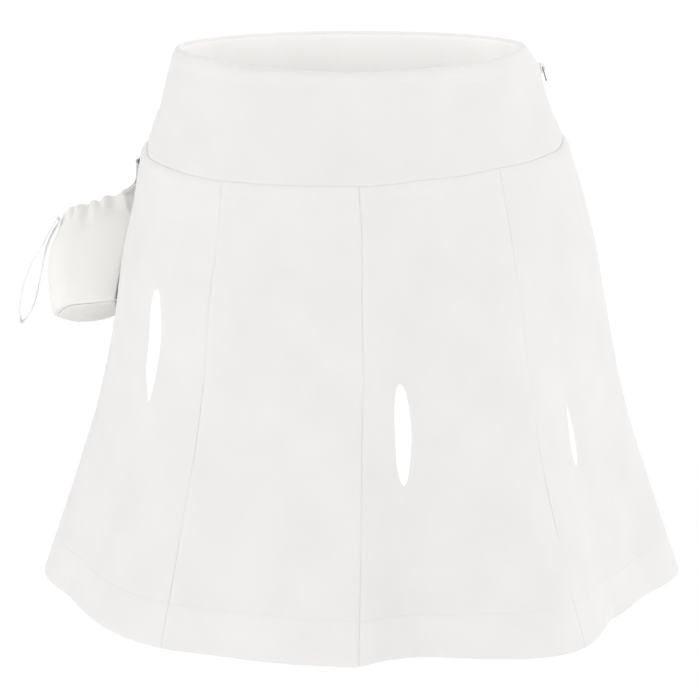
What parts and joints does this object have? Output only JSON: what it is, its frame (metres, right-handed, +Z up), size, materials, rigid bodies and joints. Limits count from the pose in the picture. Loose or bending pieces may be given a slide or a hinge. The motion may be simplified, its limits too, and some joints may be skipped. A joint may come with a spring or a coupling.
{
  "type": "golf skirt",
  "caption": "Flared gored golf skirt in its worn, hollow form: wide fitted yoke with a rolled top edge, soft folds to a turned-up hem, side zip, and a ball pouch with a ribbon loop at one hip.",
  "frame": {"origin": "centre of the waist opening, at the height of the rim", "axes": "+Z up, -Y is the front of the garment, +X is the wearer's left"},
  "size_m": [0.479, 0.3586, 0.3919],
  "materials": {
    "skirt_cloth": "matt white double-knit with a fine twill face",
    "pouch_cloth": "matt white cloth, a little warmer than the skirt",
    "ribbon": "smooth white ribbon with fine edges",
    "ring_metal": "small bright metal ring",
    "zip_metal": "bright zip slider and pull"
  },
  "bodies": {
    "skirt": {"yoke_front": "skirt_cloth", "yoke_back": "skirt_cloth", "gore_front_side_right": "skirt_cloth", "gore_front_centre_right": "skirt_cloth", "gore_front_centre_left": "skirt_cloth", "gore_front_side_left": "skirt_cloth", "gore_back_side_left": "skirt_cloth", "gore_back_centre_left": "skirt_cloth", "gore_back_centre_right": "skirt_cloth", "gore_back_side_right": "skirt_cloth", "pouch_body": "pouch_cloth", "pouch_base": "pouch_cloth", "pouch_tab": "pouch_cloth", "carrier_loop": "skirt_cloth", "ribbon_loop": "ribbon", "ring": "ring_metal", "zip_slider": "zip_metal"},
    "pull": {"zip_pull": "zip_metal"}
  },
  "joints": [
    {"name": "pull_hinge", "type": "hinge", "parent": "skirt", "child": "pull", "pos_m": [0.12984, 0, -0.01269], "axis": [0, -1, 0], "range_deg": [0, 150]}
  ]
}
